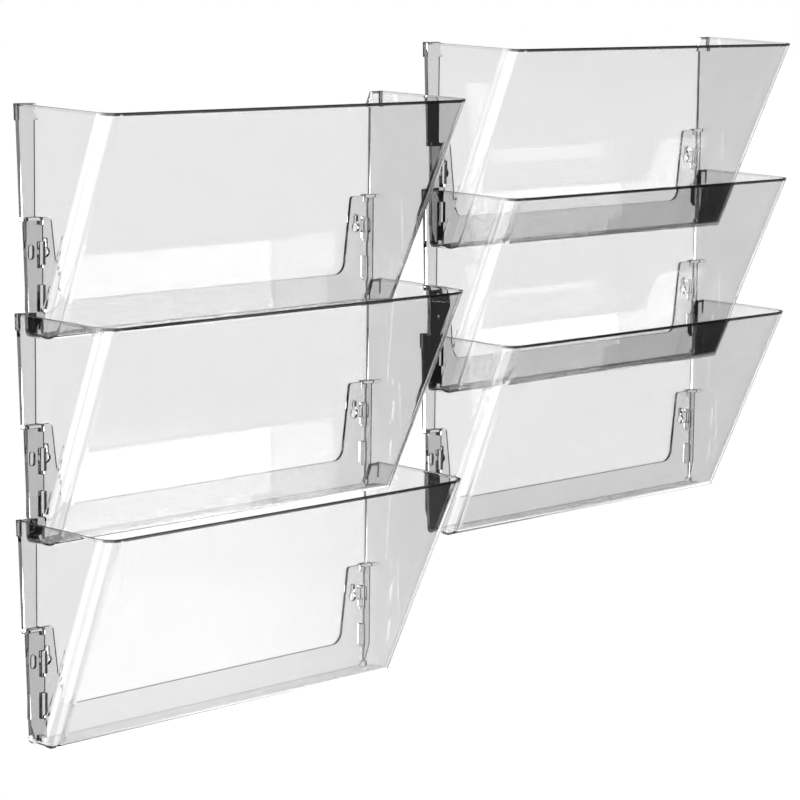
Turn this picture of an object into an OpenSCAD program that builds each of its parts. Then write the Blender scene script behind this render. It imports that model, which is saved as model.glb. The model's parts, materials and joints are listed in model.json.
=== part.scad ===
// Wall file rack: six clear snap-together pockets for legal-size paper, in two hanging columns.
// Millimetres. X runs right along the wall, +Y points into the wall, Z is up.
// The wall is the plane y = 0, and every pocket opens upwards in front of it.
// The origin is the midpoint between the round ends of the top-left pocket's two keyholes.

/* [Pocket size] */
// width over the two side walls, at the rim
pocket_width = 412.75; // [300:0.25:450]
// depth from the wall to the front of the rim
pocket_depth = 105; // [60:0.1:140]
// height of one pocket at the wall
pocket_height = 177.8; // [120:0.1:240]
// how much lower the rim is at the front than at the wall
rim_drop = 3.8; // [0:0.1:10]
// depth of the floor, from the wall to the front face
floor_depth = 31.4; // [20:0.1:60]
// thickness of every moulded wall
wall = 2.4; // [1.6:0.1:4]
// how far each side wall slopes in from rim to floor
side_slope = 8; // [4:0.5:14]
// distance from the wall to the rear edges of the side walls, above the ledge
side_back = 3.4; // [3:0.1:6]

/* [Rounding] */
// radius of the two sloping front corners
corner_radius = 15; // [6:0.5:25]
// radius along the bottom of the front face
sole_radius = 9; // [4:0.5:16]
// radius along the bottom of each side wall
side_radius = 6; // [3:0.5:10]

/* [Back plate and ears] */
// thickness of the band, the ears and the rails that lie on the wall
plate = 2.6; // [2:0.1:4]
// height of the band across the back of the floor
band_height = 25; // [10:1:50]
// height of the two ears
ear_top = 90; // [70:0.5:120]
// distance from the side of the rim to the ear's inner edge, at the top of the ear
ear_reach_top = 38.2; // [32:0.1:50]
// the same distance, at the bottom of the ear
ear_reach_low = 46.2; // [38:0.1:60]
// radius between ear and band
ear_fillet = 12; // [4:0.5:20]
// radius of the ear's top corner
ear_corner = 3; // [1:0.5:6]

/* [Keyholes] */
// distance from the side of the rim to the keyhole
keyhole_in = 32.2; // [31:0.1:40]
// height of the centre of the round end
keyhole_low = 63.8; // [40:0.1:90]
// height of the centre of the slot's rounded top
keyhole_high = 72.8; // [50:0.1:100]
// diameter of the round end, for a screw head
keyhole_head = 8.6; // [6:0.1:12]
// width of the slot, for a screw shank
keyhole_shank = 4.3; // [3:0.1:6]

/* [Snap rails] */
// height where the socket stops and the rail starts
ledge = 88.6; // [80:0.1:110]
// thickness of the ledge between them
ledge_thick = 2.6; // [2:0.1:5]
// distance from the wall to the back of the socket panel
panel_back = 3.2; // [3:0.1:5]
// thickness of the socket panel
panel_thick = 2.6; // [2:0.1:4]
// distance from the side of the rim to the socket panel's inner edge
panel_reach = 19; // [12:0.1:24]
// how far the barb stands out past that edge
barb_out = 2.8; // [1:0.1:5]
// height of the barb, from its hooked underside to the rim
barb_tall = 12.8; // [6:0.1:20]
// distance from the side of the rim to the rail's outer edge
rail_out = 12; // [6:0.1:14]
// distance from the side of the rim to the web beside the slot
web_out = 22.2; // [20:0.1:26]
// thickness of the web
web = 2; // [1.5:0.1:4]
// distance from the wall to the panel that closes the front of the slot
return_back = 6.4; // [6:0.1:9]
// top of the foot that carries the pocket below
foot_top = 6; // [4:0.1:10]
// width of the oval window in the rail
window_wide = 5.4; // [3:0.1:7]
// height of the window between the centres of its round ends
window_tall = 6; // [2:0.5:12]
// height of the centre of its lower round end
window_low = 61.5; // [50:0.5:70]
// spacing of the catches up the rail
catch_pitch = 33.25; // [25:0.05:45]
// height of each catch block
catch_tall = 17.8; // [8:0.1:24]
// how far the catch blocks stand in from the web
catch_in = 2.4; // [1:0.1:5]
// height of the corner block at the top of the socket
block_tall = 13; // [6:0.5:20]
// width of that block
block_wide = 4.8; // [3:0.1:6]
// distance from the wall to the back of that block
block_back = 1.6; // [0:0.1:3]

/* [Columns] */
// distance from one column to the next, centre to centre
column_pitch = 465.3; // [420:0.1:600]
// how much higher the right column hangs
column_rise = 40.5; // [-80:0.1:120]

/* [Hidden] */
half = pocket_width / 2;
rim_front = pocket_height - rim_drop;
lean = atan((pocket_depth - floor_depth) / rim_front);
draft = atan(side_slope / pocket_height);
big = 900;
tiny = 0.6;
// each rounding runs this much past its faces, so that it crosses them cleanly
ease = 0.001;
barb_low = pocket_height - barb_tall;
// one pocket hangs this far below the next: barb on the foot, or on the first catch
pitch_long = barb_low - foot_top;
pitch_short = barb_low - foot_top - catch_pitch;
// outward normals of the left wall, the front face and the floor
n_side = [-cos(draft), 0, -sin(draft)];
n_front = [0, -cos(lean), -sin(lean)];
n_floor = [0, 0, -1];
clear_tint = [0.86, 0.88, 0.9, 0.45];
$fa = 4;
$fs = 0.4;

function unit(v) = v / norm(v);

// removes the sharp edge between two faces, leaving radius r about an axis
// that keeps distance keep from both faces through the point p
module edge_cutter(p, n1, n2, keep, r) {
    x = unit(n1 + n2);
    z = unit(cross(n1, n2));
    y = cross(z, x);
    c = p - keep / (1 + n1 * n2) * (n1 + n2);
    g = acos(n1 * n2) / 2;
    far = r + 6;
    multmatrix([
        [x[0], y[0], z[0], c[0]],
        [x[1], y[1], z[1], c[1]],
        [x[2], y[2], z[2], c[2]],
        [0, 0, 0, 1]
    ])
        translate([0, 0, -big / 2])
            linear_extrude(height = big)
                difference() {
                    polygon([
                        [0, 0],
                        [far * cos(g), -far * sin(g)],
                        [far / cos(g), 0],
                        [far * cos(g), far * sin(g)]
                    ]);
                    circle(r = r * (1 + ease));
                }
}

// the wedge-shaped block inside the sloping faces, each moved in by inset
module wedge(inset, low, high, rear) {
    front_low = [0, -floor_depth, 0];
    side_low = [-half + side_slope, 0, 0];
    corner = [-half + rim_drop * tan(draft), -pocket_depth, rim_front];
    difference() {
        intersection() {
            translate([-half - 20, -pocket_depth - 40, low])
                cube([pocket_width + 40, pocket_depth + 40 + rear, high - low]);
            translate([0, -pocket_depth, rim_front])
                rotate([lean, 0, 0])
                    translate([-big / 2, inset, -big / 2])
                        cube([big, big, big]);
            translate([-half, 0, pocket_height])
                rotate([0, -draft, 0])
                    translate([inset, -big / 2, -big / 2])
                        cube([big, big, big]);
            translate([half, 0, pocket_height])
                rotate([0, draft, 0])
                    translate([-big - inset, -big / 2, -big / 2])
                        cube([big, big, big]);
        }
        edge_cutter(corner, n_side, n_front, corner_radius, corner_radius - inset);
        mirror([1, 0, 0])
            edge_cutter(corner, n_side, n_front, corner_radius, corner_radius - inset);
        edge_cutter(front_low, n_front, n_floor, sole_radius, sole_radius - inset);
        edge_cutter(side_low, n_side, n_floor, side_radius, side_radius - inset);
        mirror([1, 0, 0])
            edge_cutter(side_low, n_side, n_floor, side_radius, side_radius - inset);
    }
}

// a box given by distance in from the left of the rim, distance out from the wall, and height
module block(u0, u1, v0, v1, z0, z1) {
    translate([-half + u0, -v1, z0])
        cube([u1 - u0, v1 - v0, z1 - z0]);
}

// both sides of the pocket from the left one
module both() {
    children();
    mirror([1, 0, 0])
        children();
}

module rim_cut() {
    fall = atan(rim_drop / pocket_depth);
    translate([0, 0, pocket_height])
        rotate([fall, 0, 0])
            translate([-big / 2, -big / 2, 0])
                cube([big, big, 100]);
}

// an upright slot with round ends, its lower end centred on the origin
module slot(wide, tall) {
    circle(d = wide);
    translate([0, tall])
        circle(d = wide);
    translate([-wide / 2, 0])
        square([wide, tall]);
}

// outline of the plate that lies on the wall, left half, in X and Z
module plate_outline() {
    edge = atan((ear_reach_low - ear_reach_top) / (ear_top - band_height));
    ear_x = -half + ear_reach_low;
    difference() {
        union() {
            polygon([
                [0, 0],
                [0, band_height],
                [ear_x + ear_fillet * 1.6, band_height],
                [ear_x - 1, band_height + ear_fillet * 1.2],
                [-half + ear_reach_top, ear_top],
                [-half + rail_out, ear_top],
                [-half + rail_out, 20],
                [-half + rail_out + 6.5, 3],
                [-half + web_out, 3],
                [-half + web_out, 0]
            ]);
        }
        // the hollow fillet between ear and band
        translate([ear_x + ear_fillet * 0.93, band_height + ear_fillet])
            circle(r = ear_fillet);
        translate([ear_x + ear_fillet * 0.93, band_height])
            square([ear_fillet * 2, ear_fillet * 3]);
        // keyhole
        translate([-half + keyhole_in, keyhole_low])
            circle(d = keyhole_head);
        translate([-half + keyhole_in, keyhole_low])
            slot(keyhole_shank, keyhole_high - keyhole_low);
        // oval window in the rail
        translate([-half + (rail_out + web_out) / 2, window_low])
            slot(window_wide, window_tall);
        // rounded top corner of the ear
        translate([-half + ear_reach_top + ear_corner * tan(edge) - ear_corner, ear_top - ear_corner])
            difference() {
                square([ear_corner + 1, ear_corner + 1]);
                circle(r = ear_corner);
            }
    }
}

module back_plate() {
    rotate([90, 0, 0])
        linear_extrude(height = plate)
            plate_outline();
}

// slot, web, catches and foot in the lower half of a rear corner
module rail() {
    difference() {
        union() {
            block(web_out, web_out + web, 0, return_back + wall, 0, ledge + tiny);
            block(web_out, web_out + web + catch_in, 0, return_back + wall,
                foot_top + catch_pitch - catch_tall, foot_top + catch_pitch);
            block(web_out, web_out + web + catch_in, 0, return_back + wall,
                foot_top + 2 * catch_pitch - catch_tall, foot_top + 2 * catch_pitch);
        }
        // windows above the foot and above each catch
        for (i = [0:2])
            block(web_out - 1, web_out + web + catch_in + 1, plate, return_back,
                foot_top + i * catch_pitch, foot_top + i * catch_pitch + barb_tall);
    }
    block(panel_reach + 0.4, web_out + tiny, plate - tiny, return_back + tiny, 0, foot_top);
    intersection() {
        wedge(0, 0, ledge + tiny, 0);
        block(0, web_out + tiny, return_back, return_back + wall, 0, ledge + tiny);
    }
}

// ledge, panel, barb and corner block in the upper half of a rear corner
module socket() {
    intersection() {
        wedge(0, ledge, pocket_height, 0);
        difference() {
            union() {
                block(rail_out, web_out + web, 0, return_back + wall, ledge, ledge + ledge_thick);
                block(0, web_out + web, side_back, return_back + wall, ledge, ledge + ledge_thick);
                block(0, panel_reach, panel_back, panel_back + panel_thick, ledge, pocket_height);
                block(0, block_wide, block_back, panel_back + tiny, pocket_height - block_tall, pocket_height);
                translate([-half, -panel_back, 0])
                    rotate([90, 0, 0])
                        linear_extrude(height = panel_thick)
                            polygon([
                                [panel_reach - 3, barb_low],
                                [panel_reach + barb_out, barb_low],
                                [panel_reach + barb_out, barb_low + 0.8],
                                [panel_reach - 3, pocket_height]
                            ]);
            }
            translate([-half, 1, 0])
                rotate([90, 0, 0])
                    linear_extrude(height = return_back)
                        polygon([
                            [panel_reach - 3, pocket_height],
                            [panel_reach + barb_out, barb_low + 0.8],
                            [panel_reach + barb_out + 5, barb_low + 0.8],
                            [panel_reach + barb_out + 5, pocket_height + 1],
                            [panel_reach - 3, pocket_height + 1]
                        ]);
        }
    }
}

// one moulded pocket, standing on z = 0 with its back on the wall
module pocket() {
    difference() {
        union() {
            difference() {
                wedge(0, 0, pocket_height, 0);
                wedge(wall, wall, pocket_height + 5, 5);
                both() {
                    block(-5, web_out + tiny, -1, return_back, -1, ledge);
                    block(-5, rail_out, -1, side_back, ledge - tiny, pocket_height + 5);
                }
            }
            both() {
                back_plate();
                rail();
                socket();
            }
        }
        rim_cut();
    }
}

// a pocket hung in a column: rank 0 is screwed to the wall, the others snap on below
module hung(column, rank, pitch) {
    translate([column * column_pitch, 0, column * column_rise - rank * pitch - keyhole_low])
        color(clear_tint)
            pocket();
}

module left_top() {
    hung(0, 0, pitch_long);
}

module left_middle() {
    hung(0, 1, pitch_long);
}

module left_bottom() {
    hung(0, 2, pitch_long);
}

module right_top() {
    hung(1, 0, pitch_short);
}

module right_middle() {
    hung(1, 1, pitch_short);
}

module right_bottom() {
    hung(1, 2, pitch_short);
}

left_top();
left_middle();
left_bottom();
right_top();
right_middle();
right_bottom();
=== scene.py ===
import json
import math

import bmesh
import bpy
from mathutils import Matrix, Vector


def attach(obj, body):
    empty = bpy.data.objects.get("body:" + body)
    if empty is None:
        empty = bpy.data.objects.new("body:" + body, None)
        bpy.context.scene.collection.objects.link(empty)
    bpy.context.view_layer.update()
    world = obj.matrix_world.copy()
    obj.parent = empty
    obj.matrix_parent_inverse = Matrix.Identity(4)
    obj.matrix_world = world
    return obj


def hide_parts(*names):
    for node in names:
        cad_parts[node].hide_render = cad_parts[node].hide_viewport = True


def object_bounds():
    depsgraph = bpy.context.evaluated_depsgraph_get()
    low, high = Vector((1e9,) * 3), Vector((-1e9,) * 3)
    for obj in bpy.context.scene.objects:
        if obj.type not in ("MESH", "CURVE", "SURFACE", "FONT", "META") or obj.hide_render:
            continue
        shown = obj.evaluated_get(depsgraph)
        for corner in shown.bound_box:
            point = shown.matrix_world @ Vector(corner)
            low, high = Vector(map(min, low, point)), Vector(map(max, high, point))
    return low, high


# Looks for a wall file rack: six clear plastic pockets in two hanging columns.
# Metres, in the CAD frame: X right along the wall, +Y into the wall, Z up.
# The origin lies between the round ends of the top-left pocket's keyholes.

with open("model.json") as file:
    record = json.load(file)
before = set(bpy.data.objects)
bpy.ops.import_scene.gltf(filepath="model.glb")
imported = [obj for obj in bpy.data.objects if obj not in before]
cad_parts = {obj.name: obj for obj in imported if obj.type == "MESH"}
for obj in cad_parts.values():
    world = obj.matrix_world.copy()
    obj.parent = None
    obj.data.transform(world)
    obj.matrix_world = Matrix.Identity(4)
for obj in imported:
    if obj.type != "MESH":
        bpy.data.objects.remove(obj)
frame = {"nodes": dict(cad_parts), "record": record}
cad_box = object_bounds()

MM = 0.001
POCKETS = ("left_top", "left_middle", "left_bottom", "right_top", "right_middle", "right_bottom")
X_AXIS = (1, 0, 0)
Y_AXIS = (0, 1, 0)
Z_AXIS = (0, 0, 1)

# ---------------------------------------------------------------- camera
# where it looks, in degrees: right of straight at the wall, upwards, tilted sideways
CAMERA_YAW = 48.33
CAMERA_PITCH = -7.93
CAMERA_ROLL = 0.62
CAMERA_SENSOR_MM = 36.0
CAMERA_LENS_MM = 141.3
CAMERA_SIGHT = 50
# where it stands, from the left end of the top-left pocket's rim
RIM_CORNER = Vector((-0.206375, 0.0, 0.114))
CAMERA_FROM_RIM = Vector((-1.5739, -1.7949, 0.10765))


def make_camera():
    """Put the camera at the photograph's viewpoint; return the direction it looks in."""
    yaw, pitch, roll = (math.radians(v) for v in (CAMERA_YAW, CAMERA_PITCH, CAMERA_ROLL))
    forward = Vector((math.sin(yaw) * math.cos(pitch), math.cos(yaw) * math.cos(pitch), math.sin(pitch)))
    level = Vector((math.cos(yaw), -math.sin(yaw), 0.0))
    upright = level.cross(forward)
    right = level * math.cos(roll) + upright * math.sin(roll)
    up = upright * math.cos(roll) - level * math.sin(roll)
    place = Matrix((right, up, -forward)).transposed().to_4x4()
    place.translation = RIM_CORNER + CAMERA_FROM_RIM

    data = bpy.data.cameras.new("camera")
    data.sensor_width = CAMERA_SENSOR_MM
    data.lens = CAMERA_LENS_MM
    data.clip_end = CAMERA_SIGHT
    camera = bpy.data.objects.new("camera", data)
    camera.matrix_world = place
    bpy.context.collection.objects.link(camera)
    bpy.context.scene.camera = camera
    return forward


# ---------------------------------------------------------------- shader nodes
# numbers of the Mix node's sockets: its pair of values and their result, then its colours
MIX_VALUES = (2, 3)
MIX_VALUE_RESULT = 0
MIX_COLOURS = (6, 7)
MIX_COLOUR_RESULT = 2


def grey(value):
    return (value, value, value, 1.0)


class Graph:
    """Short calls that add nodes to a shader tree and wire their inputs."""

    def __init__(self, tree):
        self.tree = tree

    def node(self, kind, **settings):
        n = self.tree.nodes.new(kind)
        for key, value in settings.items():
            setattr(n, key, value)
        return n

    def put(self, socket, value):
        """Link another node's output to the socket, or set it to a plain value."""
        if hasattr(value, "is_output"):
            self.tree.links.new(value, socket)
        else:
            socket.default_value = value

    def math(self, operation, *values):
        n = self.node("ShaderNodeMath", operation=operation)
        for socket, value in zip(n.inputs, values):
            self.put(socket, value)
        return n.outputs[0]

    def product(self, first, *others):
        for value in others:
            first = self.math("MULTIPLY", first, value)
        return first

    def inverse(self, value):
        return self.math("SUBTRACT", 1.0, value)

    def along(self, vector, axis):
        """How far the vector reaches along an axis."""
        n = self.node("ShaderNodeVectorMath", operation="DOT_PRODUCT")
        self.tree.links.new(vector, n.inputs[0])
        n.inputs[1].default_value = axis
        return n.outputs["Value"]

    def fade(self, value, dark, lit):
        """A smooth step: 0 where the value is dark, 1 where it is lit."""
        n = self.node("ShaderNodeMapRange", interpolation_type="SMOOTHSTEP")
        self.put(n.inputs["Value"], value)
        self.put(n.inputs["From Min"], dark)
        self.put(n.inputs["From Max"], lit)
        return n.outputs[0]

    def panel(self, direction, strength, edges):
        """A light with soft edges; each edge is an axis, where it is dark and where it is lit."""
        fades = [self.fade(self.along(direction, axis), dark, lit) for axis, dark, lit in edges]
        return self.product(strength, *fades)

    def noise(self, coord, stretch, scale, detail):
        m = self.node("ShaderNodeMapping")
        m.inputs["Scale"].default_value = stretch
        self.tree.links.new(coord, m.inputs["Vector"])
        n = self.node("ShaderNodeTexNoise")
        n.inputs["Scale"].default_value = scale
        n.inputs["Detail"].default_value = detail
        self.tree.links.new(m.outputs["Vector"], n.inputs["Vector"])
        return n.outputs["Fac"]

    def mix(self, kind, factor, pair, values, result):
        n = self.node("ShaderNodeMix", data_type=kind)
        self.put(n.inputs[0], factor)
        for number, value in zip(pair, values):
            self.put(n.inputs[number], value)
        return n.outputs[result]

    def blend_greys(self, factor, first, second):
        """A colour between two grey levels."""
        return self.mix("RGBA", factor, MIX_COLOURS, (grey(first), grey(second)), MIX_COLOUR_RESULT)

    def choose(self, factor, first, second):
        """A value between two others."""
        return self.mix("FLOAT", factor, MIX_VALUES, (first, second), MIX_VALUE_RESULT)


# ---------------------------------------------------------------- light
# The studio that reflections see, as lights in fixed directions. Each has a strength and
# its edges: an axis, where along that axis the light is dark, and where it is fully lit.
SLANT = (0.0, -0.707, 0.707)
STEEP = (Z_AXIS, -0.88, -0.70)
STUDIO = {
    "front_sheen": (0.85, (
        (SLANT, -0.150, -0.178), (Z_AXIS, -0.45, -0.52), (X_AXIS, 0.76, 0.68), STEEP)),
    "front_sheen_core": (0.25, (
        (SLANT, -0.198, -0.212), (Z_AXIS, -0.45, -0.52), (X_AXIS, 0.76, 0.68), STEEP)),
    "corner_stripe": (2.4, (
        (X_AXIS, 0.00, -0.12), (Y_AXIS, 0.48, 0.38), (SLANT, -0.27, -0.23))),
    "corner_stripe_low": (2.4, (
        (X_AXIS, -0.45, -0.55), (Y_AXIS, 0.48, 0.38), (Y_AXIS, -0.10, 0.00), (SLANT, -0.22, -0.26),
        (Z_AXIS, -0.66, -0.62))),
    "nested_front": (0.6, (
        (X_AXIS, 0.45, 0.55), (Y_AXIS, -0.50, -0.60), (Z_AXIS, -0.42, -0.36))),
    "right_edge": (0.95, (
        (X_AXIS, 0.80, 0.88), (Z_AXIS, -0.62, -0.52))),
    "bottom_edge": (0.90, (
        (X_AXIS, 0.50, 0.60), (Y_AXIS, -0.12, -0.02), (Y_AXIS, 0.60, 0.52), (Z_AXIS, -0.40, -0.48))),
    "fill": (0.12, (
        (X_AXIS, 0.80, 0.70), (X_AXIS, 0.55, 0.65))),
}
AMBIENT = 0.05
# a light behind the wall, with its strength after one reflection, and what exactly two
# reflections add: always, and where fewer walls were crossed on the way
BEHIND = ((X_AXIS, 0.30, 0.50), (Y_AXIS, 0.45, 0.55), (Z_AXIS, -0.015, -0.045))
BEHIND_ONCE = 1.6
BEHIND_TWICE = 4.0
BEHIND_TWICE_NEAR = 5.0
NEAR_DEPTH = 5.5
# three or more reflections, as along an edge, see an even grey
MANY_LIGHT = 0.30
# limits on the number of reflections, each half-way between two counts
ONE_MIRROR = 0.5
TWO_MIRRORS = 1.5
THREE_MIRRORS = 2.5
# light is lost once it has met more surfaces than DEEP; of light that goes straight through
# and has met more than DEEPEST, a part comes back in directions above a level
DEEP = 7.5
DEEPEST = 9.5
DEEPEST_LEVEL = (-0.100, -0.094)
DEEPEST_LIGHT = 0.8
# straight through, the loss is kept to a cone about the camera's direction, and fades in
# between these two angles
CONE_OUTER = math.radians(26)
CONE_INNER = math.radians(15)


def reflected_light(g, direction, depth, mirrors, deep):
    """What a reflection sees: a dark studio with soft lights."""
    studio = AMBIENT
    for strength, edges in STUDIO.values():
        studio = g.math("ADD", studio, g.panel(direction, strength, edges))
    many = g.math("GREATER_THAN", mirrors, THREE_MIRRORS)
    twice = g.math("SUBTRACT", g.math("GREATER_THAN", mirrors, TWO_MIRRORS), many)
    near = g.math("LESS_THAN", depth, NEAR_DEPTH)
    more = g.math("ADD", BEHIND_TWICE, g.math("MULTIPLY", near, BEHIND_TWICE_NEAR))
    behind = g.math("ADD", BEHIND_ONCE, g.math("MULTIPLY", twice, more))
    studio = g.math("ADD", studio, g.math("MULTIPLY", behind, g.panel(direction, 1.0, BEHIND)))
    seen = g.product(studio, g.inverse(deep), g.inverse(many))
    return g.math("ADD", seen, g.math("MULTIPLY", many, MANY_LIGHT))


def straight_light(g, direction, depth, deep, view):
    """What is seen straight through: white, but dark where many walls overlap."""
    cone = g.fade(g.along(direction, view), math.cos(CONE_OUTER), math.cos(CONE_INNER))
    deepest = g.math("MULTIPLY", g.math("GREATER_THAN", depth, DEEPEST),
                     g.fade(g.along(direction, Z_AXIS), *DEEPEST_LEVEL))
    shade = g.math("SUBTRACT", deep, g.math("MULTIPLY", deepest, DEEPEST_LIGHT))
    return g.inverse(g.math("MULTIPLY", shade, cone))


def make_world(view):
    world = bpy.data.worlds.new("studio")
    bpy.context.scene.world = world
    world.use_nodes = True
    tree = world.node_tree
    g = Graph(tree)
    path = g.node("ShaderNodeLightPath")
    depth = path.outputs["Ray Depth"]
    mirrors = path.outputs["Glossy Depth"]
    direction = g.node("ShaderNodeTexCoord").outputs["Generated"]
    deep = g.math("GREATER_THAN", depth, DEEP)
    light = g.choose(g.math("LESS_THAN", mirrors, ONE_MIRROR),
                     reflected_light(g, direction, depth, mirrors, deep),
                     straight_light(g, direction, depth, deep, view))
    background = tree.nodes["Background"]
    background.inputs["Color"].default_value = grey(1.0)
    tree.links.new(light, background.inputs["Strength"])
    bpy.context.scene.view_settings.view_transform = "Standard"


# ---------------------------------------------------------------- floor
FLOOR_RADIUS = 40.0
FLOOR_SIDES = 64
FLOOR_DROP = 0.6
FLOOR_GREY = 0.93
FLOOR_ROUGH = 0.9
FLOOR_GLOW = 0.09


def make_floor():
    """A plain pale floor, well below the pockets, which their reflections don't pick up."""
    bm = bmesh.new()
    bmesh.ops.create_circle(bm, cap_ends=True, segments=FLOOR_SIDES, radius=FLOOR_RADIUS)
    mesh = bpy.data.meshes.new("floor")
    bm.to_mesh(mesh)
    bm.free()
    floor = bpy.data.objects.new("floor", mesh)
    bpy.context.collection.objects.link(floor)
    floor.location.z = cad_box[0][2] - FLOOR_DROP
    mat = bpy.data.materials.new("pale_floor")
    mat.use_nodes = True
    shader = mat.node_tree.nodes["Principled BSDF"]
    shader.inputs["Base Color"].default_value = grey(FLOOR_GREY)
    shader.inputs["Roughness"].default_value = FLOOR_ROUGH
    shader.inputs["Specular IOR Level"].default_value = 0.0
    shader.inputs["Emission Color"].default_value = grey(1.0)
    shader.inputs["Emission Strength"].default_value = FLOOR_GLOW
    mesh.materials.append(mat)
    floor.visible_glossy = False
    floor.visible_transmission = False


# ---------------------------------------------------------------- materials
PLASTIC_IOR = 1.6
# grey levels between which the plastic's tint wanders
CLEAR = (0.882, 0.862)
# noise patterns: stretch along X, Y and Z, then scale and detail
CLOUDS = ((1.0, 1.0, 1.0), 14.0, 3.0)
SCUFFS = ((1.0, 1.0, 0.08), 900.0, 4.0)
WEAR = ((1.0, 1.0, 1.0), 22.0, 2.0)
WAVES = ((1.0, 1.0, 0.35), 26.0, 1.0)
# where in those patterns a scuff, and a worn patch, begins and is full
SCUFF_EDGE = (0.58, 0.72)
WEAR_EDGE = (0.50, 0.66)
SCUFF_ROUGHNESS = 0.035
WAVE_STRENGTH = 0.35
WAVE_HEIGHT = 0.2 * MM
# grey levels of the rim's painted shade: its lighter part, and its darkest along the front and in the
# corner blocks
RIM_PAINTED_SHADE_LIGHT = 0.76
RIM_PAINTED_SHADE_DARK = 0.07
# where the painted shade on the rim sets in, from its side walls towards its front
RIM_SHADE_FADE = (-0.093, -0.099)
# the corner blocks that carry the rim, which get painted shade, are the part nearer to the wall than this
BLOCK_SHADE_FADE = (-0.0045, -0.0035)


def clear_tint(g, coord):
    """Almost colourless, with slow clouds."""
    return g.blend_greys(g.noise(coord, *CLOUDS), *CLEAR)


def painted_rim_shade(g, coord):
    """Painted shade along the front of the rim and in the corner blocks, standing in for the dark look of
    the clear plastic's edges and overlaps.
    """
    out = g.along(coord, Y_AXIS)
    # painted shade, darker along the rim's front and in the corner blocks
    dark = g.math("ADD", g.fade(out, *RIM_SHADE_FADE), g.fade(out, *BLOCK_SHADE_FADE))
    return g.blend_greys(dark, RIM_PAINTED_SHADE_LIGHT, RIM_PAINTED_SHADE_DARK)


def moulded_plastic(name, tint_and_shade):
    """Injection-moulded plastic with a tint (painted shade on the rim), slow surface waves and fine
    scuffs.
    """
    mat = bpy.data.materials.new(name)
    mat.use_nodes = True
    tree = mat.node_tree
    g = Graph(tree)
    coord = g.node("ShaderNodeTexCoord").outputs["Object"]
    shader = tree.nodes["Principled BSDF"]
    shader.inputs["Transmission Weight"].default_value = 1.0
    shader.inputs["IOR"].default_value = PLASTIC_IOR

    tree.links.new(tint_and_shade(g, coord), shader.inputs["Base Color"])

    rub = g.math("MULTIPLY", g.fade(g.noise(coord, *SCUFFS), *SCUFF_EDGE),
                 g.fade(g.noise(coord, *WEAR), *WEAR_EDGE))
    tree.links.new(g.math("MULTIPLY", rub, SCUFF_ROUGHNESS), shader.inputs["Roughness"])

    bump = g.node("ShaderNodeBump")
    bump.inputs["Strength"].default_value = WAVE_STRENGTH
    bump.inputs["Distance"].default_value = WAVE_HEIGHT
    tree.links.new(g.noise(coord, *WAVES), bump.inputs["Height"])
    tree.links.new(bump.outputs["Normal"], shader.inputs["Normal"])
    return mat


# ---------------------------------------------------------------- pockets
# the rim: how far it falls over the pocket's depth, its rounding, and the strip under it that gets
# painted shade
RIM_FALL = 3.8 * MM
POCKET_DEPTH = 105 * MM
RIM_ROUND = 0.6 * MM
RIM_SEGMENTS = 4
RIM_PROFILE = 0.5
RIM_SHADE_STRIP = 2.1 * MM
# a piece's material numbers: 0 for the plastic, and this for the rim's painted shade
RIM_SHADE_MATERIAL = 1
# limits that pick out the rim's top faces and its outline
RIM_ZONE = 4.5 * MM
RIM_LEVEL = 0.99
RIM_CORNER_ANGLE = math.radians(40)
# the walls that the cut under the rim goes through
CUT_ZONE = 90 * MM
# corner blocks, which get painted shade: how far they reach below the rim, off the wall, and in from the
# side
BLOCK_TALL = 13.1 * MM
BLOCK_OFF_WALL = 3.25 * MM
BLOCK_WIDE = 5.2 * MM
# edges that bend less than this are shaded smooth
SMOOTH_ANGLE = math.radians(24)
WELD = 1e-6
CUT_WELD = 1e-7
FULL_WEIGHT = 100


def rim_edges(bm):
    """The sharp edges around the top faces of the rim."""
    top = max(v.co.z for v in bm.verts)
    rim = {f for f in bm.faces if f.normal.z > RIM_LEVEL and f.calc_center_median().z > top - RIM_ZONE}
    return [e for e in bm.edges if len(e.link_faces) == 2 and sum(f in rim for f in e.link_faces) == 1
            and e.calc_face_angle() > RIM_CORNER_ANGLE]


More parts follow.
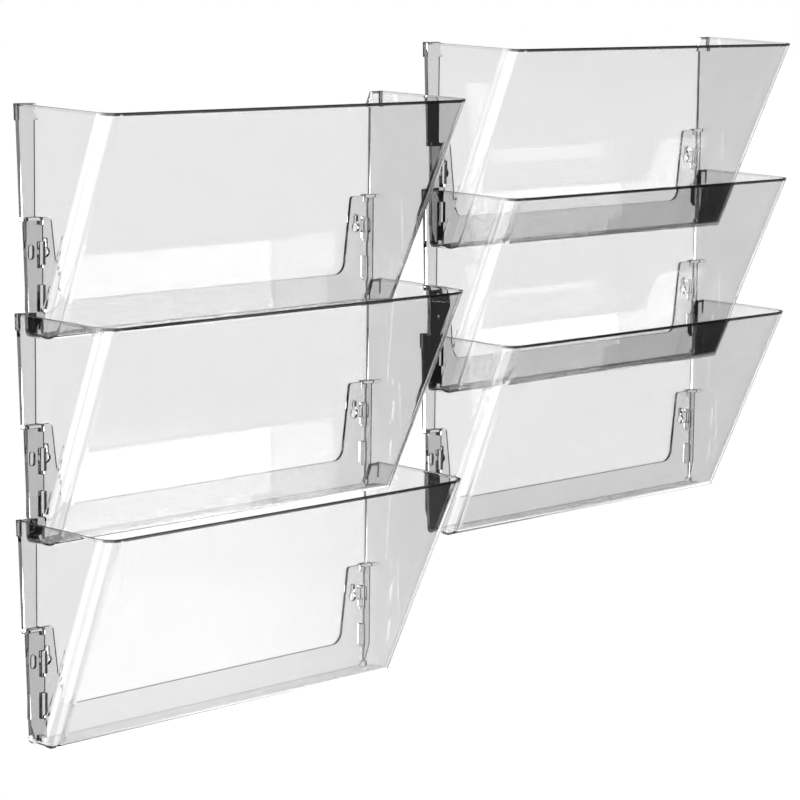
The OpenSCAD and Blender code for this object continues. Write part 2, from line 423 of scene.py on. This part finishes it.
def mark_rim_shade(bm):
    """Cut the walls just below the rim; the strip above the cut and the blocks get the rim's
    painted-shade material.
    """
    top = max(v.co.z for v in bm.verts)
    left = min(v.co.x for v in bm.verts)
    right = max(v.co.x for v in bm.verts)
    centre = (left + right) / 2
    point = Vector((0.0, 0.0, top - RIM_SHADE_STRIP))
    normal = Vector((0.0, -RIM_FALL / POCKET_DEPTH, 1.0)).normalized()
    walls = [f for f in bm.faces if f.calc_center_median().z > top - CUT_ZONE]
    parts = set(walls) | {e for f in walls for e in f.edges} | {v for f in walls for v in f.verts}
    bmesh.ops.bisect_plane(bm, geom=list(parts), dist=CUT_WELD, plane_co=point, plane_no=normal)
    for f in bm.faces:
        middle = f.calc_center_median()
        block = (middle.z > top - BLOCK_TALL and middle.y > -BLOCK_OFF_WALL
                 and abs(middle.x - centre) > right - centre - BLOCK_WIDE)
        if block or (middle - point).dot(normal) > 0:
            f.material_index = RIM_SHADE_MATERIAL


def moulded(node, body, plastic, rim):
    """A pocket's piece: the CAD shape with a rounded rim and shading that is sharp at corners."""
    bm = bmesh.new()
    bm.from_mesh(frame["nodes"][node].data)
    bmesh.ops.remove_doubles(bm, verts=bm.verts, dist=WELD)
    bmesh.ops.bevel(bm, geom=rim_edges(bm), offset=RIM_ROUND, segments=RIM_SEGMENTS,
                    profile=RIM_PROFILE, affect="EDGES", clamp_overlap=False)
    mark_rim_shade(bm)
    for e in bm.edges:
        e.smooth = len(e.link_faces) == 2 and e.calc_face_angle() < SMOOTH_ANGLE
    for f in bm.faces:
        f.smooth = True
    mesh = bpy.data.meshes.new(node + "_moulding")
    bm.to_mesh(mesh)
    bm.free()
    mesh.materials.append(plastic)
    # the second material paints shade on the strip under the rim and on the corner blocks
    mesh.materials.append(rim)
    piece = bpy.data.objects.new(node + "_moulding", mesh)
    bpy.context.collection.objects.link(piece)
    weigh = piece.modifiers.new("faces", "WEIGHTED_NORMAL")
    weigh.keep_sharp = True
    weigh.weight = FULL_WEIGHT
    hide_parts(node)
    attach(piece, body)


view = make_camera()
make_world(view)
make_floor()
plastic = moulded_plastic("clear_plastic", clear_tint)
# the rim's plastic carries painted shade along its front and in its corner blocks
rim = moulded_plastic("rim_plastic_painted_shade", painted_rim_shade)
body_of = {node: body for body, nodes in frame["record"]["behaviour"]["bodies"].items() for node in nodes}
for node in POCKETS:
    moulded(node, body_of[node], plastic, rim)
